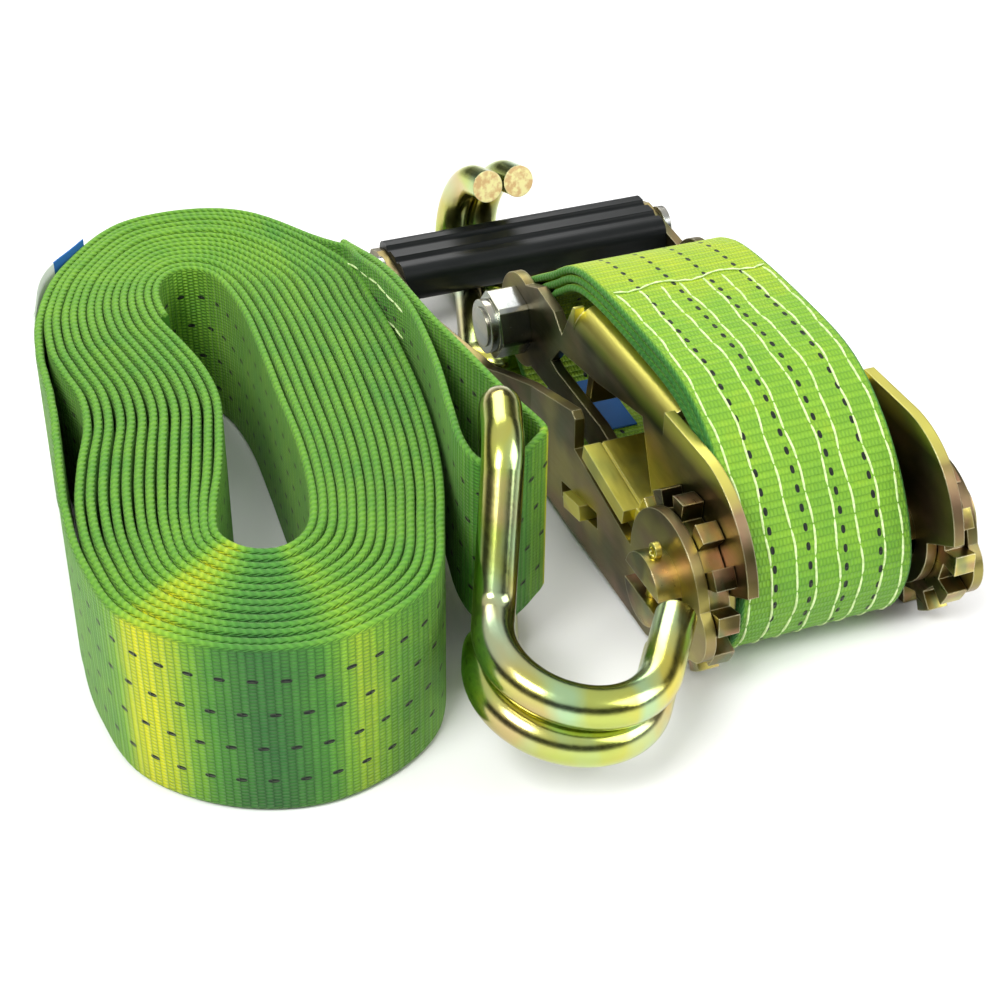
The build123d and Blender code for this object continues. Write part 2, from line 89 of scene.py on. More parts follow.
class Nodes:
    """Short names for the nodes of one material."""

    def __init__(self, name):
        self.material = bpy.data.materials.new(name)
        self.material.use_nodes = True
        self.tree = self.material.node_tree
        self.shader = self.tree.nodes["Principled BSDF"]

    def new(self, kind, **settings):
        made = self.tree.nodes.new(kind)
        for key, value in settings.items():
            setattr(made, key, value)
        return made

    def link(self, source, target):
        self.tree.links.new(source, target)

    def put(self, value, socket):
        if isinstance(value, bpy.types.NodeSocket):
            self.link(value, socket)
        else:
            socket.default_value = value

    def math(self, operation, a, b=0.0, c=0.0, clamp=False):
        made = self.new("ShaderNodeMath", operation=operation, use_clamp=clamp)
        for value, socket in zip((a, b, c), made.inputs):
            self.put(value, socket)
        return made.outputs[0]

    def ramp(self, factor, stops, ease="LINEAR"):
        made = self.new("ShaderNodeValToRGB")
        made.color_ramp.interpolation = ease
        elements = made.color_ramp.elements
        while len(elements) < len(stops):
            elements.new(0.5)
        for element, (place, colour) in zip(elements, stops):
            element.position = place
            element.color = (*colour, 1.0)
        self.put(factor, made.inputs[0])
        return made.outputs[0]

    def between(self, factor, a, b, blend="MIX"):
        made = self.new("ShaderNodeMix", data_type="RGBA", blend_type=blend)
        self.put(factor, made.inputs[0])
        for value, socket in ((a, made.inputs[6]), (b, made.inputs[7])):
            self.put(value if isinstance(value, bpy.types.NodeSocket) else (*value, 1.0), socket)
        return made.outputs[2]

    def noise(self, scale, detail=3.0, rough=0.5, stretch=(1, 1, 1)):
        place = self.new("ShaderNodeTexCoord").outputs["Object"]
        if stretch != (1, 1, 1):
            mapping = self.new("ShaderNodeMapping")
            mapping.inputs["Scale"].default_value = stretch
            self.link(place, mapping.inputs[0])
            place = mapping.outputs[0]
        made = self.new("ShaderNodeTexNoise")
        made.inputs["Scale"].default_value = scale
        made.inputs["Detail"].default_value = detail
        made.inputs["Roughness"].default_value = rough
        self.link(place, made.inputs["Vector"])
        return made.outputs[0]

    def bump(self, height, distance, strength=1.0, under=None):
        made = self.new("ShaderNodeBump")
        made.inputs["Strength"].default_value = strength
        made.inputs["Distance"].default_value = distance
        self.link(height, made.inputs["Height"])
        if under is not None:
            self.link(under, made.inputs["Normal"])
        return made.outputs[0]

    def attribute(self, name):
        return self.new("ShaderNodeAttribute", attribute_name=name).outputs["Fac"]

    def set(self, **values):
        for key, value in values.items():
            self.put(value, self.shader.inputs[key.replace("_", " ")])


# ------------------------------------------------------------------ materials

LABEL_WHITE = 30.0      # length of a label's white part, where the blue band begins
CUT_STEEL = (0.98, 0.88, 0.44)
CUT_SHADE = (0.78, 0.52, 0.24)
TIP_REACH = 14.0
FOLD_FROM_Z = 53.0      # above this height the frame's fold gets a painted bright yellow highlight
FOLD_RAMP = 5.0
# the middle of each hook's pair of sawn ends, and the way they face
HOOK_TIPS = [(at(-6.4, 193.5, 41.5), Vector((0.050, -0.970, 0.237))),
             (at(-48.3, -19.4, 24.3), Vector((0.577, 0.816, 0.039)))]


def webbing_material(name, depth, dash_pitch, dash_reach):
    """Woven polyester: ribs across the strap, fine cross threads, looped edges, black tracer dashes, and
    painted shade in the weave's hollows.
    """
    n = Nodes(name)
    uv = n.new("ShaderNodeSeparateXYZ")
    n.link(n.new("ShaderNodeUVMap", uv_map="strap").outputs[0], uv.inputs[0])
    along = n.math("MULTIPLY", uv.outputs[0], 1000.0)
    across = n.math("MULTIPLY", uv.outputs[1], 1000.0)

    # ribs: columns across the width, each a ladder of small rungs, next columns half a rung apart
    rib_place = n.math("DIVIDE", along, RIB_PITCH)
    column = n.math("FLOOR", rib_place)
    rib = n.math("SINE", n.math("MULTIPLY", n.math("FRACT", rib_place), math.pi))
    rib = n.math("POWER", rib, 0.6)
    shift = n.math("MULTIPLY", column, 0.5)
    rung_place = n.math("FRACT", n.math("ADD", n.math("DIVIDE", across, RUNG_PITCH), shift))
    rung = n.math("SINE", n.math("MULTIPLY", rung_place, math.pi))
    weave = n.math("MULTIPLY", rib, n.math("MULTIPLY_ADD", rung, 0.65, 0.35))

    # wide soft ribs, every other column a little higher
    wide = n.math("SINE", n.math("MULTIPLY", along, math.pi / RIB_PITCH))
    weave = n.math("MULTIPLY_ADD", wide, 0.20, weave)

    # looped edge, seen on the strap's thin side
    edge = n.math("GREATER_THAN", n.math("ABSOLUTE", across), WEB_W / 2 - 0.4)
    loop = n.math("SINE", n.math("MULTIPLY", along, 2 * math.pi / LOOP_PITCH))
    slanted = n.math("MULTIPLY_ADD", along, 2 * math.pi / LOOP_PITCH, n.math("MULTIPLY", across, 3.0))
    slant = n.math("SINE", slanted)
    loops = n.math("MULTIPLY_ADD", slant, 0.35, n.math("MULTIPLY_ADD", loop, 0.15, 0.62))
    face = n.math("SUBTRACT", 1.0, edge)
    height = n.math("ADD", n.math("MULTIPLY", weave, face), n.math("MULTIPLY", loops, edge))

    # tracer dashes
    side = n.math("SIGN", across)
    dashes = None
    for number, row in enumerate(DASH_ROWS):
        phase = n.math("MULTIPLY_ADD", side, 0.22 + 0.08 * number, 0.31 * number)
        place = n.math("FRACT", n.math("ADD", n.math("DIVIDE", along, dash_pitch), phase))
        du = n.math("DIVIDE", n.math("MULTIPLY", n.math("SUBTRACT", place, 0.5), dash_pitch), dash_reach)
        dv = n.math("DIVIDE", n.math("SUBTRACT", n.math("ABSOLUTE", across), row), DASH_HALF_WIDTH)
        long_way = n.math("POWER", n.math("ABSOLUTE", du), 3.0)
        reach = n.math("ADD", long_way, n.math("POWER", n.math("ABSOLUTE", dv), 2.0))
        dash = n.math("MULTIPLY", n.math("SUBTRACT", 1.15, reach), 3.0, clamp=True)
        dashes = dash if dashes is None else n.math("MAXIMUM", dashes, dash)

    # the tint attribute carries painted sheen and painted shade from the strips; the noise adds random tone
    own_tint = n.math("SUBTRACT", n.attribute("tint"), 0.15)
    tint = n.math("MULTIPLY_ADD", n.noise(90.0, 4.0, 0.6), 0.30, own_tint)
    green = n.ramp(tint, [(0.0, (0.026, 0.150, 0.028)), (0.30, (0.078, 0.285, 0.026)),
                          (0.58, (0.225, 0.455, 0.024)), (1.0, (0.700, 0.690, 0.006))])
    # painted shade: the weave's low places are darkened by their height, by depth's share
    weave_hollow_shade = n.between(1.0, green, (0.26, 0.44, 0.30), "MULTIPLY")
    lit = n.math("MULTIPLY_ADD", n.math("POWER", height, 0.8, clamp=True), depth, 1.0 - depth)
    colour = n.between(lit, weave_hollow_shade, green)
    colour = n.between(dashes, colour, (0.002, 0.005, 0.003))
    n.set(Base_Color=colour, Roughness=0.62, Sheen_Weight=0.16, Sheen_Roughness=0.4)
    n.shader.inputs["Sheen Tint"].default_value = (0.75, 1.0, 0.45, 1.0)
    n.shader.inputs["Specular IOR Level"].default_value = 0.35
    fine = n.bump(n.noise(2200.0, 3.0), 0.00012, 0.7)
    n.set(Normal=n.bump(height, 0.00055 * depth, 0.85, fine))
    return n.material


def thread_material():
    """Pale sewing thread with a fine twist."""
    n = Nodes("pale_thread")
    shade = n.noise(900.0, 2.0)
    n.set(Base_Color=n.ramp(shade, [(0.3, (0.50, 0.70, 0.24)), (0.7, (0.80, 0.92, 0.52))]), Roughness=0.55)
    n.set(Normal=n.bump(n.noise(3000.0, 1.0, stretch=(1, 1, 0.3)), 0.0001, 0.6))
    return n.material


def cut_face(n, centre, way):
    """1 on the flat sawn ends that face along way within a few millimetres of centre, 0 elsewhere."""
    here = n.new("ShaderNodeTexCoord")
    apart = n.new("ShaderNodeVectorMath", operation="DISTANCE")
    n.link(here.outputs["Object"], apart.inputs[0])
    apart.inputs[1].default_value = centre
    facing = n.new("ShaderNodeVectorMath", operation="DOT_PRODUCT")
    n.link(here.outputs["Normal"], facing.inputs[0])
    facing.inputs[1].default_value = way
    near = n.math("LESS_THAN", apart.outputs["Value"], TIP_REACH * MM)
    return n.math("MULTIPLY", near, n.math("GREATER_THAN", facing.outputs["Value"], 0.985))


def zinc_material(name, body, pink, cool, roughness, scratches,
                  patch_scale=28.0, painted_highlight_colour=None, tips=()):
    """Passivated zinc: drifting colours, pink and cool patches, fine scratches, edges painted brighter for
    wear and highlight, and an optional painted highlight along the top.
    """
    n = Nodes(name)
    low, middle, high = body
    drift = n.noise(patch_scale, 2.5, 0.45)
    base = n.ramp(drift, [(0.34, low), (0.50, middle), (0.64, high)], "EASE")
    pink_drift = n.noise(patch_scale * 1.7, 1.5, 0.4, (1, 1, 2.2))
    pink_patch = n.ramp(pink_drift, [(0.46, (0, 0, 0)), (0.68, (0.7, 0.7, 0.7))])
    base = n.between(pink_patch, base, pink)
    cool_drift = n.noise(patch_scale * 2.3, 1.5, 0.4, (2.0, 1, 1))
    cool_patch = n.ramp(cool_drift, [(0.48, (0, 0, 0)), (0.72, (0.6, 0.6, 0.6))])
    base = n.between(cool_patch, base, cool)
    geometry = n.new("ShaderNodeNewGeometry")
    # painted highlight: above FOLD_FROM_Z the colour turns to the highlight colour
    if painted_highlight_colour:
        height = n.new("ShaderNodeSeparateXYZ")
        n.link(n.new("ShaderNodeTexCoord").outputs["Object"], height.inputs[0])
        above = n.math("SUBTRACT", height.outputs[2], FOLD_FROM_Z * MM)
        lit = n.math("DIVIDE", above, FOLD_RAMP * MM, clamp=True)
        base = n.between(lit, base, painted_highlight_colour)
    if tips:
        sawn = 0.0
        for centre, way in tips:
            sawn = n.math("MAXIMUM", sawn, cut_face(n, centre, way))
        crystals = n.ramp(n.noise(420.0, 2.0, 0.6), [(0.40, CUT_SHADE), (0.60, CUT_STEEL)])
        base = n.between(sawn, base, crystals)
    # brighter edges: part wear, part painted highlight, found where the bevelled normal turns away
    bevel = n.new("ShaderNodeBevel", samples=4)
    bevel.inputs["Radius"].default_value = 0.0005
    turned = n.new("ShaderNodeVectorMath", operation="DOT_PRODUCT")
    n.link(bevel.outputs[0], turned.inputs[0])
    n.link(geometry.outputs["Normal"], turned.inputs[1])
    edge_wear_and_highlight = n.math("MULTIPLY", n.math("SUBTRACT", 1.0, turned.outputs["Value"]), 6.0, clamp=True)
    base = n.between(n.math("MULTIPLY", edge_wear_and_highlight, 0.6), base, (0.86, 0.80, 0.52))
    grain = n.noise(900.0, 3.0, 0.6, (1, 0.12, 1))
    rough = n.math("MULTIPLY_ADD", grain, 0.16, roughness - 0.08)
    n.set(Base_Color=base, Metallic=1.0, Roughness=rough)
    if tips:
        n.set(Metallic=n.math("MULTIPLY_ADD", sawn, -0.75, 1.0))
        n.set(Roughness=n.math("MULTIPLY_ADD", sawn, 0.4, rough))
    soft = n.bump(n.noise(140.0, 3.0, 0.5), 0.0002, 0.25, bevel.outputs[0])
    n.set(Normal=n.bump(grain, 0.00005, scratches, soft))
    return n.material


def metal_materials():
    """The zinc and steel finishes: three body colours, then a pink and a cool patch colour."""
    return {
        # the frame's fold carries a painted bright yellow highlight
        "frame_zinc": zinc_material(
            "frame_zinc_look", ((0.060, 0.050, 0.020), (0.16, 0.125, 0.045), (0.36, 0.31, 0.09)),
            (0.27, 0.17, 0.11), (0.12, 0.16, 0.07), 0.38, 0.5, painted_highlight_colour=(0.78, 0.72, 0.16)),
        "pawl_zinc": zinc_material(
            "pawl_zinc_look", ((0.42, 0.33, 0.05), (0.70, 0.60, 0.07), (0.85, 0.80, 0.16)),
            (0.52, 0.30, 0.12), (0.38, 0.42, 0.10), 0.36, 0.5),
        "wheel_zinc": zinc_material(
            "wheel_zinc_look", ((0.07, 0.055, 0.02), (0.20, 0.16, 0.05), (0.58, 0.50, 0.13)),
            (0.34, 0.18, 0.12), (0.12, 0.20, 0.10), 0.30, 0.5, 60.0),
        "hook_zinc": zinc_material(
            "hook_zinc_look", ((0.26, 0.31, 0.06), (0.45, 0.51, 0.12), (0.62, 0.54, 0.10)),
            (0.54, 0.36, 0.20), (0.34, 0.60, 0.42), 0.19, 0.2, 22.0, tips=HOOK_TIPS),
        "bolt_steel": zinc_material(
            "bolt_steel_look", ((0.16, 0.17, 0.16), (0.30, 0.31, 0.30), (0.50, 0.51, 0.50)),
            (0.50, 0.44, 0.34), (0.34, 0.41, 0.35), 0.24, 0.4),
    }


def plastic_material():
    """Black moulded plastic with a faint grain and dusty streaks."""
    n = Nodes("black_plastic")
    streak = n.noise(120.0, 4.0, 0.6, (0.15, 1, 1))
    n.set(Base_Color=n.ramp(streak, [(0.35, (0.003, 0.004, 0.004)), (0.75, (0.012, 0.014, 0.014))]))
    n.set(Roughness=n.math("MULTIPLY_ADD", streak, 0.25, 0.22))
    n.shader.inputs["Specular IOR Level"].default_value = 0.14
    n.set(Normal=n.bump(n.noise(1800.0, 2.0), 0.00004, 0.4))
    return n.material


def label_material():
    """Blank woven label, white with a blue band."""
    n = Nodes("blank_label")
    uv = n.new("ShaderNodeSeparateXYZ")
    n.link(n.new("ShaderNodeUVMap", uv_map="strap").outputs[0], uv.inputs[0])
    band = n.math("GREATER_THAN", uv.outputs[0], LABEL_WHITE * MM)
    weave = n.noise(2200.0, 2.0)
    n.set(Base_Color=n.between(band, (0.80, 0.82, 0.80), (0.015, 0.130, 0.420)), Roughness=0.7)
    n.set(Normal=n.bump(weave, 0.00005, 0.5))
    return n.material


# ------------------------------------------------------------------ curves and strips

def curve_through(points, closed=False):
    """Smooth curve through these points, as a function of a station number."""
    count = len(points)
    points = [Vector(p) for p in points]

    def place(station):
        i = math.floor(station)
        f = station - i
        if closed:
            a, b, c, d = (points[(i + k) % count] for k in (-1, 0, 1, 2))
        else:
            a, b, c, d = (points[min(max(i + k, 0), count - 1)] for k in (-1, 0, 1, 2))
        square = 2 * a - 5 * b + 4 * c - d
        cube = 3 * b - a - 3 * c + d
        return 0.5 * (2 * b + (c - a) * f + square * f * f + cube * f ** 3)
    return place


def even_steps(points, step):
    """The same line with its points a constant distance apart."""
    total = sum((b - a).length for a, b in zip(points, points[1:]))
    count = max(2, round(total / step))
    gap = total / count
    result, travelled, i = [points[0].copy()], 0.0, 0
    for k in range(1, count):
        while travelled + (points[i + 1] - points[i]).length < k * gap:
            travelled += (points[i + 1] - points[i]).length
            i += 1
        run = points[i + 1] - points[i]
        result.append(points[i] + run * ((k * gap - travelled) / run.length))
    result.append(points[-1].copy())
    return result


def smooth_line(points, step=2.0):
    place = curve_through(points)
    last = len(points) - 1
    dense = [place(min(k / 24, last - 1e-9)) for k in range(24 * last + 1)]
    return even_steps(dense, step)


def tangents(line):
    result = []
    for k in range(len(line)):
        ahead = line[min(k + 1, len(line) - 1)]
        behind = line[max(k - 1, 0)]
        result.append((ahead - behind).normalized())
    return result


def strap_section(width, thickness, columns):
    """Points (across, out, v) round a strap with rounded edges. v runs on round the edge."""
    half, r = width / 2, thickness / 2
    flat = half - r
    places = [-flat + 2 * flat * k / columns for k in range(columns + 1)]
    section = [(v, r, v) for v in places]
    for k in (1, 2, 3):
        a = math.pi * k / 4
        section.append((flat + r * math.sin(a), r * math.cos(a), half + 0.3 + 0.4 * k))
    section += [(v, -r, v) for v in reversed(places)]
    for k in (1, 2, 3):
        a = math.pi * k / 4
        section.append((-flat - r * math.sin(a), -r * math.cos(a), -half - 0.3 - 0.4 * k))
    return section


def add_strip(shape, line, across, width=WEB_W, thickness=WEB_T, columns=6,
              tint=0.5, start=0.0, edge_painted_shade=0.0):
    """Adds one strap along line to shape, and returns where its end is along the webbing.

    across is its width direction. The last argument paints shade on its edges, darkening them by that much.
    At 0 they drift towards EDGE_TINT.
    """
    verts, faces, uvs, tints = shape
    section = strap_section(width, thickness, columns)
    around, first = len(section), len(verts)
    ways = tangents(line)
    travelled = start
    for k, (place, way) in enumerate(zip(line, ways)):
        if k:
            travelled += (line[k] - line[k - 1]).length
        out = way.cross(across).normalized()
        wide = out.cross(way).normalized()
        here_tint = tint(place, out) if callable(tint) else tint
        for a, b, v in section:
            verts.append(at(*(place + wide * a + out * b)))
            uvs.append((travelled * MM, v * MM))
            on_edge = abs(v) > width / 2
            # painted shade: edges darkened by the last argument, or else given half the painted sheen
            calmer = here_tint - edge_painted_shade if edge_painted_shade else (here_tint + EDGE_TINT) / 2
            tints.append(calmer if on_edge else here_tint)
    for k in range(len(line) - 1):
        for j in range(around):
            a, b = first + k * around + j, first + k * around + (j + 1) % around
            faces.append((a, b, b + around, a + around))
    faces.append(tuple(first + j for j in reversed(range(around))))
    last = first + (len(line) - 1) * around
    faces.append(tuple(last + j for j in range(around)))
    return travelled


def new_shape():
    return [], [], [], []


def make_object(name, shape, material):
    """Turns collected points, faces, strap coordinates and tints into an object."""
    verts, faces, uvs, tints = shape
    mesh = bpy.data.meshes.new(name)
    mesh.from_pydata(verts, [], faces)
    if uvs:
        layer = mesh.uv_layers.new(name="strap")
        for loop in mesh.loops:
            layer.data[loop.index].uv = uvs[loop.vertex_index]
    if tints:
        mesh.attributes.new("tint", "FLOAT", "POINT").data.foreach_set("value", tints)
    mesh.materials.append(material)
    rims = set()
    for polygon in mesh.polygons:
        polygon.use_smooth = len(polygon.vertices) == 4
        if not polygon.use_smooth:
            rims.update(polygon.edge_keys)
    for edge in mesh.edges:
        edge.use_edge_sharp = edge.key in rims
    made = bpy.data.objects.new(name, mesh)
    bpy.context.scene.collection.objects.link(made)
    return made


def add_thread(shape, path, radius=THREAD_R, sides=6):
    """Adds one stitch: a thin round thread along path, pinched where it dives into the cloth."""
    verts, faces, _, _ = shape
    ways = tangents(path)
    first = len(verts)
    for k, (place, way) in enumerate(zip(path, ways)):
        fade = 0.55 if k in (0, len(path) - 1) else 1.0
        side = way.cross(Vector((0.13, 0.27, 0.95))).normalized()
        up = side.cross(way)
        for j in range(sides):
            a = 2 * math.pi * j / sides
            verts.append(at(*(place + (side * math.cos(a) + up * math.sin(a)) * radius * fade)))
    for k in range(len(path) - 1):
        for j in range(sides):
            a, b = first + k * sides + j, first + k * sides + (j + 1) % sides
            faces.append((a, b, b + sides, a + sides))
    faces.append(tuple(first + j for j in reversed(range(sides))))
    faces.append(tuple(first + (len(path) - 1) * sides + j for j in range(sides)))


def wobble(number):
    """A repeatable value between -1 and 1."""
    return math.sin(number * 12.9898 + 4.1) * math.cos(number * 7.233 + 1.7)


def add_stitches(shape, line, across, out_sign, rise, offsets, first_mm, last_mm, phase=0.0, gap=0.35):
    """Rows of stitches on a strap's face, along its length."""
    ways = tangents(line)
    lengths = [0.0]
    for a, b in zip(line, line[1:]):
        lengths.append(lengths[-1] + (b - a).length)

    def on_face(s, offset, up):
        k = min(max(sum(1 for length in lengths if length <= s) - 1, 0), len(line) - 2)
        f = (s - lengths[k]) / max(lengths[k + 1] - lengths[k], 1e-6)
        place = line[k].lerp(line[k + 1], f)
        way = ways[k].lerp(ways[k + 1], f).normalized()
        out = way.cross(across).normalized() * out_sign
        return place + across * offset + out * up

    for row, offset in enumerate(offsets):
        pitch = (last_mm - first_mm) / round((last_mm - first_mm) / STITCH_PITCH)
        for number in range(round((last_mm - first_mm) / pitch)):
            s = first_mm + number * pitch
            reach = pitch - gap
            path = []
            for f in (0.0, 0.15, 0.4, 0.6, 0.85, 1.0):
                place = s + reach * f
                run = place + phase
                sway = 0.40 * math.sin(run * 0.11 + row * 1.9) + 0.22 * math.sin(run * 0.35 + row)
                path.append(on_face(place, offset + sway, rise + 0.24 * math.sin(math.pi * f) - 0.14))
            add_thread(shape, path)


# ------------------------------------------------------------------ long strap: coil, tail and eye

# the inner turn and the outer turn of the coil, seen from above, matched point by point
COIL_INNER = [(-116.5, 148), (-115.5, 130), (-117, 108), (-119, 85), (-121, 60), (-124.5, 38),
              (-129, 25.5), (-135.5, 20.5), (-142.5, 23), (-146, 31), (-142.5, 42), (-136.5, 56),
              (-131.5, 72), (-127.8, 88), (-127.4, 104), (-129.5, 120), (-132.5, 136), (-132, 149),
              (-128.5, 156.5), (-123, 158.5), (-118.5, 155)]
COIL_OUTER = [(-77.5, 150), (-76.8, 122), (-78.5, 96), (-82.0, 68), (-87.5, 42), (-95.5, 18), (-108, -7.5),
              (-134, -19), (-158, -13), (-175.5, 5), (-180.0, 28), (-179.0, 50), (-174.5, 69), (-169, 86),
              (-167, 101), (-168.4, 115), (-169, 130), (-165, 151), (-153, 174), (-130, 194), (-98, 188)]
# how far the outermost turn stands off, along the left side
STAND_OFF = {11: 0.4, 12: 2.6, 13: 5.4, 14: 5.4, 15: 3.0, 16: 1.0}
TAIL = [(-74.6, 136), (-74.0, 118), (-74.4, 94)]
EYE = [(-77.6, 68), (-82.4, 44), (-85.2, 29), (-84.8, 18.5), (-80, 13.9), (-74, 16.7), (-68.2, 21.2),
       (-64.0, 25.4), (-64.4, 32.4), (-66.6, 46), (-68.8, 68), (-71.2, 92)]
TAIL_BACK = [(-71.4, 118), (-71.8, 136), (-73.4, 152)]
TAIL_RISE = 8.5
EYE_RISE = 12.2
RISE_STEPS = 26     # steps of the coil's line over which its last turn lifts off the floor
TAIL_STEP = 1.8     # between points of the tail's line
TAIL_ROWS = (-21, -12, -4, 4, 12, 21)   # rows of stitches across the tail
SEWN_FROM_Y = 84.0


COIL_START = 16.0       # station of the inner turn where the webbing begins
COIL_STEPS = 8          # points from one station to the next
COIL_CENTRE = Vector((-125, 88, 0))


def coil_points():
    """The coil as one spiral from the innermost turn to where the tail leaves it."""
    inner = curve_through([(*p, 0) for p in COIL_INNER], closed=True)
    outer = curve_through([(*p, 0) for p in COIL_OUTER], closed=True)
    stations = len(COIL_INNER)
    last = stations * COIL_TURNS
    points = []
    for k in range(int((last - COIL_START) * COIL_STEPS) + 1):
        s = COIL_START + k / COIL_STEPS
        share = s / stations / (COIL_TURNS - 1)
        place = inner(s).lerp(outer(s), share)
        if s > stations * (COIL_TURNS - 1):
            local = s % stations
            low = math.floor(local)
            ease = local - low
            off = STAND_OFF.get(low, 0.0) * (1 - ease) + STAND_OFF.get(low + 1, 0.0) * ease
            place += (place - COIL_CENTRE).normalized() * off
        place += (place - COIL_CENTRE).normalized() * 0.22 * wobble(s * 0.05)
        points.append(place)
    return points


def smooth_share(value, start, end):
    """0 at start, 1 at end, and smooth between them."""
    f = min(max((value - start) / (end - start), 0.0), 1.0)
    return f * f * (3 - 2 * f)


def tail_height(y):
    """Height of the tail's lower edge: low beside the coil's back, highest at the eye."""
    return TAIL_RISE * smooth_share(y, 175, 112) + (EYE_RISE - TAIL_RISE) * smooth_share(y, 140, 88)


def coil_painted_sheen(place, inward):
    """Painted sheen: yellower where the turns face front left and front right, painted shade, deeper green,
    between, and yellower towards the back.
    """
    out = -inward
    if place.x > -92 and place.y > 0 and out.x > 0.5:
        return 0.34
    heading = math.degrees(math.atan2(-abs(out.y), out.x)) if place.y < 50 else 0.0
    front = smooth_share(place.y, 42, 22)
    tint = 0.38 + 0.14 * smooth_share(place.y, 110, 185)
    tint += 0.64 * front * math.exp(-((heading + 146) / 14) ** 2)
    tint -= 0.33 * front * math.exp(-((heading + 110) / 18) ** 2)
    tint += 0.32 * front * math.exp(-((heading + 76) / 8) ** 2)
    return tint


def make_long_strap(webbing, thread):
    """One piece of webbing: rolled up on its edge, then a doubled tail with a sewn eye."""
    coil = even_steps(coil_points(), 2.6)
    route = curve_through([coil[-8], coil[-1]] + [Vector((*p, 0)) for p in TAIL + EYE + TAIL_BACK])
    stations = len(TAIL + EYE + TAIL_BACK)
    dense = [route(1 + min(k / 16, stations - 1e-6)) for k in range(16 * stations + 1)]
    tail = even_steps(dense, TAIL_STEP)
    line = []
    for k, place in enumerate(coil):
        rise = tail_height(place.y) * smooth_share(k, len(coil) - RISE_STEPS, len(coil))
        uneven = max(0.5 * wobble(k * 0.004), 0.0) if k < len(coil) - RISE_STEPS else 0.0
        line.append(place + Vector((0, 0, WEB_W / 2 + rise + uneven)))
    line += [place + Vector((0, 0, WEB_W / 2 + tail_height(place.y))) for place in tail[1:]]
    shape = new_shape()
    # the coil's tint is painted sheen, set by which way each turn faces
    length = add_strip(shape, line, Vector((0, 0, 1)), tint=coil_painted_sheen)
    strap = make_object("long_strap_webbing", shape, webbing)

    sewn = new_shape()
    outer = [p for p in line[len(coil):] if p.y > SEWN_FROM_Y][-round(58 / TAIL_STEP):]
    for out_sign, rise in ((1.0, WEB_T / 2), (-1.0, WEB_T / 2 + LAYER)):
        add_stitches(sewn, outer, Vector((0, 0, 1)), out_sign, rise, TAIL_ROWS, 3.0, 56.0)
    stitches = make_object("long_strap_stitches", sewn, thread)
    return strap, stitches, length


# ------------------------------------------------------------------ short strap

# middle line of the short strap's stack in (Y, Z): over the base, round the hub, back along the floor
SHORT_X = -2.5      # middle of its width
SHORT_EDGE_PAINTED_SHADE = 0.50      # painted shade on its side edges: how much darker they are
SHORT_ROW_PAIRS = (-19.2, -6.4, 6.4, 19.2)     # middles of its pairs of stitch rows
SHORT_ROUTE = [(112, 49.2), (104, 54.6), (92, 62.4), (78, 65.7), (50, 66.3), (24, 64.5), (7, 56.2),
               (-6, 43), (-13.6, 27), (-11.0, 13), (-5.2, 7.2), (4, 4.9), (17, 4.3), (45, 3.2), (80, 2.9),
               (110, 3.0)]
BOLT_EYE = [(108.6, 45.2), (109.9, 38.5), (110.2, 33.0), (113.0, 28.0), (120, 25.1), (127, 28), (129.9, 35),
            (127.0, 42.0), (121.5, 46.6)]
BACK_EYE = [(122, 1.9), (134, 1.65), (139, 1.7), (143.4, 3.9), (145.0, 8.7), (143.2, 13.4), (138, 15.7),
            (132, 15.4), (126, 11.6), (120, 7.4)]


def in_yz(points):
    return [Vector((SHORT_X, y, z)) for y, z in points]


def offset_line(route, offset_at):
    """The route moved outwards by offset_at(share of the way along)."""
    ways = tangents(route)
    result = []
    for k, (place, way) in enumerate(zip(route, ways)):
        out = way.cross(Vector((1, 0, 0))).normalized()
        result.append(place + out * offset_at(k / (len(route) - 1)))
    return result


def nearest(line, y, z):
    goal = Vector((SHORT_X, y, z))
    return min(range(len(line)), key=lambda k: (line[k] - goal).length)


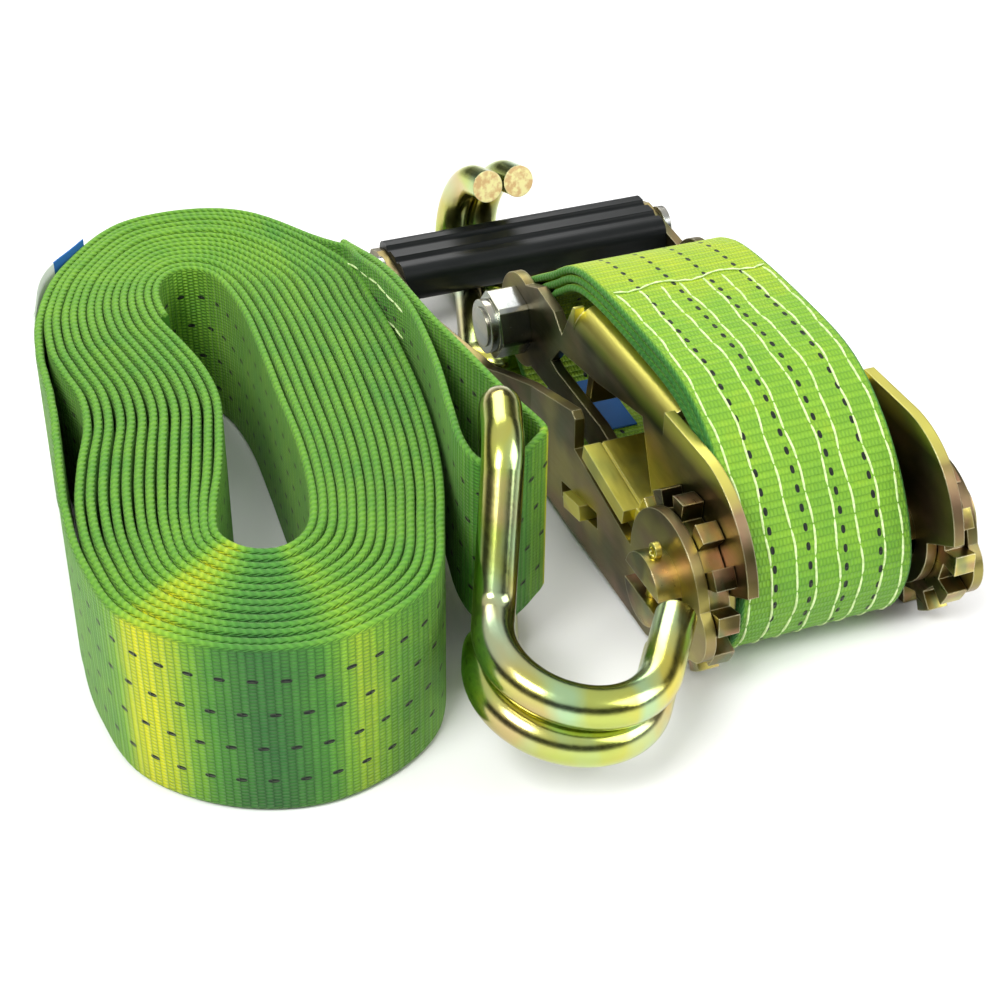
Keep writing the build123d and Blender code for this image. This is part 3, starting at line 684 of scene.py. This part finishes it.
def make_short_strap(webbing, thread):
    """Webbing folded in three over the base and in two under the handle, with an eye at each end."""
    route = smooth_line(in_yz(SHORT_ROUTE), 1.5)
    last = len(route) - 1
    under = nearest(route, -5.2, 7.2) / last
    floor = nearest(route, 17, 4.3) / last

    def towards_two(full, two):
        return lambda share: full + (two - full) * smooth_share(share, under, floor)

    outer = offset_line(route, towards_two(LAYER, LAYER / 2))
    middle = offset_line(route, towards_two(0.0, -LAYER / 2))
    inner = offset_line(route, lambda share: -LAYER)
    bend_from = nearest(route, 7, 56.2)
    bend_to = nearest(route, 45, 3.2)
    inner_end = nearest(route, 0, 5.8)
    start = nearest(route, 105, 54)
    across = Vector((1, 0, 0))

    # painted light: the short strap is lighter higher up and further along Y, and painted shade keeps it
    # darker low down under the handle
    def tint(place, out):
        return 0.44 + 0.12 * smooth_share(place.z, 10, 60) + 0.20 * smooth_share(place.y, 30, 95)

    def lay(shape, line, start=0.0):
        return add_strip(shape, line, across, columns=10, tint=tint, start=start, edge_painted_shade=SHORT_EDGE_PAINTED_SHADE)

    top = new_shape()
    lower = list(reversed(inner[start:bend_from + 1]))
    eye = smooth_line([lower[-1]] + in_yz(BOLT_EYE) + [outer[start]], 1.5)[1:-1]
    loop = lower + eye + outer[start:bend_from + 1]
    outer_length = lay(top, loop)
    middle_length = lay(top, middle[:bend_from + 1], 0.4)
    front = make_object("short_strap_over_base", top, webbing)
    front_length = outer_length + middle_length

    bend = new_shape()
    bend_outer = lay(bend, outer[bend_from:bend_to + 1], outer_length)
    bend_middle = lay(bend, middle[bend_from:bend_to + 1], middle_length)
    bend_inner = lay(bend, inner[bend_from:inner_end + 1])
    wrap = make_object("short_strap_round_hub", bend, webbing)
    wrap_length = bend_outer - outer_length + bend_middle - middle_length + bend_inner

    back = new_shape()
    eye = smooth_line([outer[-1]] + in_yz(BACK_EYE) + [middle[-1]], 1.5)[1:-1]
    returning = outer[bend_to:] + eye + list(reversed(middle[bend_to:]))
    back_end = lay(back, returning, bend_outer)
    tail = make_object("short_strap_under_handle", back, webbing)

    rows = []
    for pair in SHORT_ROW_PAIRS:
        rows += [pair - 3.0, pair + 3.0]
    lengths = [0.0]
    for a, b in zip(outer, outer[1:]):
        lengths.append(lengths[-1] + (b - a).length)
    seam_at = nearest(route, 67, 66)
    top_sewn = new_shape()
    add_stitches(top_sewn, outer[:bend_from + 1], across, 1.0, WEB_T / 2, rows,
                 lengths[seam_at], lengths[bend_from])
    ways = tangents(outer)
    seam = []
    for k in range(13):
        x = SHORT_X - 23 + 46 * k / 12
        place = outer[seam_at] + ways[seam_at] * (1.2 * math.sin(k * 1.3) - 1.0)
        seam.append(Vector((x, place.y, place.z + WEB_T / 2 + 0.25)))
    for a, b in zip(seam, seam[1:]):
        add_thread(top_sewn, [a, a.lerp(b, 0.5) + Vector((0, 0, 0.15)), b])
    stitches_top = make_object("short_strap_stitches_top", top_sewn, thread)
    wrap_sewn = new_shape()
    add_stitches(wrap_sewn, outer[bend_from:bend_to + 1], across, 1.0, WEB_T / 2, rows, 0.0,
                 lengths[nearest(outer, 2, 2)] - lengths[bend_from], phase=lengths[bend_from])
    stitches_wrap = make_object("short_strap_stitches_hub", wrap_sewn, thread)
    return {"front": (front, front_length), "wrap": (wrap, wrap_length),
            "tail": (tail, back_end - bend_outer),
            "stitches_top": stitches_top, "stitches_wrap": stitches_wrap}


# ------------------------------------------------------------------ labels

LABEL_STATIONS = (16.7, 18.4)     # stretch of the coil's last turn that its label lies on
LABEL_Z = 37.5

def make_labels(label):
    """Blank label tips: one lies on the coil's outer turn, one is tucked under the handle."""
    coil_tip = new_shape()
    turn = len(COIL_INNER) * (COIL_TURNS - 1) - COIL_START
    first, last = (round((turn + station) * COIL_STEPS) for station in LABEL_STATIONS)
    line = []
    for k, place in enumerate(coil_points()[first:last + 1]):
        stand_off = WEB_T / 2 + 0.45 + 2.4 * math.sin(math.pi * k / (last - first)) ** 2
        line.append(place + (place - COIL_CENTRE).normalized() * stand_off + Vector((0, 0, LABEL_Z)))
    line = even_steps(line, 2.0)
    add_strip(coil_tip, line, Vector((0, 0, 1)), width=28.0, thickness=0.5, columns=4)
    tip = make_object("coil_label_tip", coil_tip, label)
    flag = new_shape()
    line = smooth_line(in_yz([(95, 5.9), (104, 6.4), (112, 7.6), (118, 9.6)]), 1.5)
    line = [p + Vector((-10.5, 0, 0)) for p in line]
    add_strip(flag, line, Vector((1, 0, 0)), width=22.0, thickness=0.5, columns=4, start=31.0)
    short = make_object("short_label_tip", flag, label)
    return tip, short


# ------------------------------------------------------------------ stage

def make_stage():
    """Pale seamless floor, a bright dome with a darker rim, and soft lights."""
    size = 8.0
    mesh = bpy.data.meshes.new("floor")
    corners = [(-size, -size, 0), (size, -size, 0), (size, size, 0), (-size, size, 0)]
    mesh.from_pydata(corners, [], [(0, 1, 2, 3)])
    floor = bpy.data.objects.new("floor", mesh)
    bpy.context.scene.collection.objects.link(floor)
    floor.location.z = -0.0003
    n = Nodes("pale_floor")
    n.set(Base_Color=(0.93, 0.93, 0.93, 1.0), Roughness=0.85)
    n.shader.inputs["Specular IOR Level"].default_value = 0.1
    mesh.materials.append(n.material)

    world = bpy.data.worlds.new("studio")
    bpy.context.scene.world = world
    world.use_nodes = True
    tree = world.node_tree
    background = tree.nodes["Background"]
    place = tree.nodes.new("ShaderNodeTexCoord")
    split = tree.nodes.new("ShaderNodeSeparateXYZ")
    ramp = tree.nodes.new("ShaderNodeValToRGB")
    tree.links.new(place.outputs["Generated"], split.inputs[0])
    tree.links.new(split.outputs[2], ramp.inputs[0])
    tree.links.new(ramp.outputs[0], background.inputs[0])
    stops = [(0.0, 0.80), (0.08, 0.75), (0.16, 0.06), (0.46, 0.04), (0.60, 0.90), (1.0, 1.0)]
    elements = ramp.color_ramp.elements
    while len(elements) < len(stops):
        elements.new(0.5)
    for element, (where, grey) in zip(elements, stops):
        element.position = where
        element.color = (grey, grey, grey, 1.0)
    background.inputs[1].default_value = 0.95

    lights = (("key", (-0.7, -0.5, 1.1), 0.55, 14.0), ("fill", (0.9, -0.6, 0.7), 0.7, 7.0),
              ("back", (0.2, 1.1, 0.9), 0.8, 9.0))
    for name, place, width, power in lights:
        lamp = bpy.data.lights.new(name, "AREA")
        lamp.size = width
        lamp.energy = power
        made = bpy.data.objects.new(name, lamp)
        made.location = place
        made.rotation_euler = (Vector((0, 0, 0.03)) - made.location).to_track_quat("-Z", "Y").to_euler()
        bpy.context.scene.collection.objects.link(made)


def make_camera():
    """Looks down at the strap from the front left."""
    heading, pitch, roll = math.radians(22.504), math.radians(35.44), math.radians(0.707)
    level = Vector((math.sin(heading), math.cos(heading), 0)) * math.cos(pitch)
    forward = level - Vector((0, 0, math.sin(pitch)))
    data = bpy.data.cameras.new("camera")
    data.lens = 70.37
    data.sensor_width = 36.0
    camera = bpy.data.objects.new("camera", data)
    turn = forward.to_track_quat("-Z", "Y").to_matrix().to_4x4() @ Matrix.Rotation(roll, 4, "Z")
    camera.matrix_world = Matrix.Translation(at(-231.2, -349.8, 331.6)) @ turn
    bpy.context.scene.collection.objects.link(camera)
    bpy.context.scene.camera = camera


# ------------------------------------------------------------------ putting it together

# nodes that look different from their slot's usual finish
LOOKS = {"ratchet_wheel_left": "wheel_zinc", "ratchet_wheel_right": "wheel_zinc",
         "spindle_upper": "wheel_zinc", "spindle_lower": "wheel_zinc", "spindle_cotters": "pawl_zinc"}


def dress_cad(materials):
    """Gives each CAD node that stays in view its material."""
    for name, node in frame["nodes"].items():
        slot = next(s["material_slot"] for s in frame["record"]["subparts"] if s["node"] == name)
        slot = LOOKS.get(name, slot)
        if slot in materials:
            node.data.materials.clear()
            node.data.materials.append(materials[slot])


def main():
    bpy.context.scene.view_settings.view_transform = "Standard"
    webbing = webbing_material("lime_webbing", 1.0, *COIL_DASHES)
    flat_webbing = webbing_material("lime_webbing_flat", 0.62, *FLAT_DASHES)
    thread = thread_material()
    label = label_material()
    dress_cad(metal_materials() | {"black_plastic": plastic_material()})

    strap, stitches, length = make_long_strap(webbing, thread)
    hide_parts("long_strap_coil", "long_strap_tail", "long_strap_eye")
    for piece in (strap, stitches):
        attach(piece, "long_strap")

    short = make_short_strap(flat_webbing, thread)
    front, front_length = short["front"]
    wrap, wrap_length = short["wrap"]
    tail, tail_length = short["tail"]
    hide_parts("short_strap_front")
    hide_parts("short_strap_tail")
    for piece in (front, short["stitches_top"]):
        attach(piece, "frame")
    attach(tail, "handle")
    for piece in (wrap, short["stitches_wrap"]):
        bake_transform(piece)

    coil_tip, short_tip = make_labels(label)
    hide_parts("coil_label")
    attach(coil_tip, "long_strap")
    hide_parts("short_strap_label")
    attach(short_tip, "handle")

    make_stage()
    make_camera()


main()
